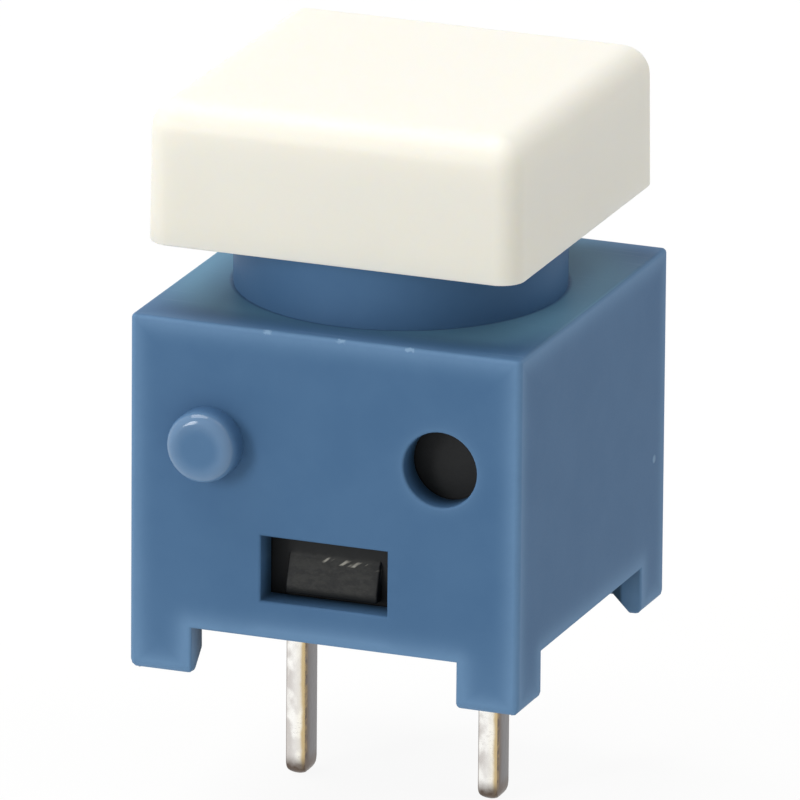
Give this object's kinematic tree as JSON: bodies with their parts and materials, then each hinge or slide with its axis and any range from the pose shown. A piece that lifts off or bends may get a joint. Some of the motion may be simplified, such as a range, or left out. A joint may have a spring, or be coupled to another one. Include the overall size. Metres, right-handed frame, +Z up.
{
  "type": "pushbutton switch",
  "caption": "Momentary pushbutton switch for a circuit board: square blue housing on corner feet, round collar, ivory square key cap, black base and flat tinned terminals.",
  "frame": {"origin": "centre of the square body on the circuit board's surface, under the feet", "axes": "+Z up towards the key cap, -Y out of the front face, +X to the right seen from the front"},
  "size_m": [0.0102, 0.0116, 0.0183],
  "materials": {
    "housing_blue": "satin moulded",
    "base_black": "matt moulded",
    "cap_ivory": "satin moulded",
    "plunger_natural": "natural moulded",
    "blade_brass": "rolled strip",
    "contact_silver": "bright",
    "terminal_tinned": "tin plated",
    "spring_steel": "drawn wire"
  },
  "bodies": {
    "frame": {"housing": "housing_blue", "base": "base_black", "terminal_left": "terminal_tinned", "terminal_right": "terminal_tinned", "fixed_contact_left": "contact_silver", "fixed_contact_right": "contact_silver", "return_spring": "spring_steel"},
    "button": {"keycap": "cap_ivory", "plunger": "plunger_natural", "contact_spring": "spring_steel"},
    "bridge": {"contact_bridge": "blade_brass", "moving_contact_left": "contact_silver", "moving_contact_right": "contact_silver"}
  },
  "joints": [
    {"name": "button_press", "type": "slide", "parent": "frame", "child": "button", "axis": [0, 0, -1], "range_m": [0, 0.0013], "stiffness_N_per_m": 800, "springref_m": -0.00075, "deforming": ["return_spring"]},
    {"name": "bridge_lag", "type": "slide", "parent": "button", "child": "bridge", "axis": [0, 0, 1], "range_m": [0, 0.00043], "deforming": ["contact_spring"]}
  ],
  "couplings": [
    {"joint": "bridge_lag", "follows": "button_press", "ratio": 0.325}
  ]
}
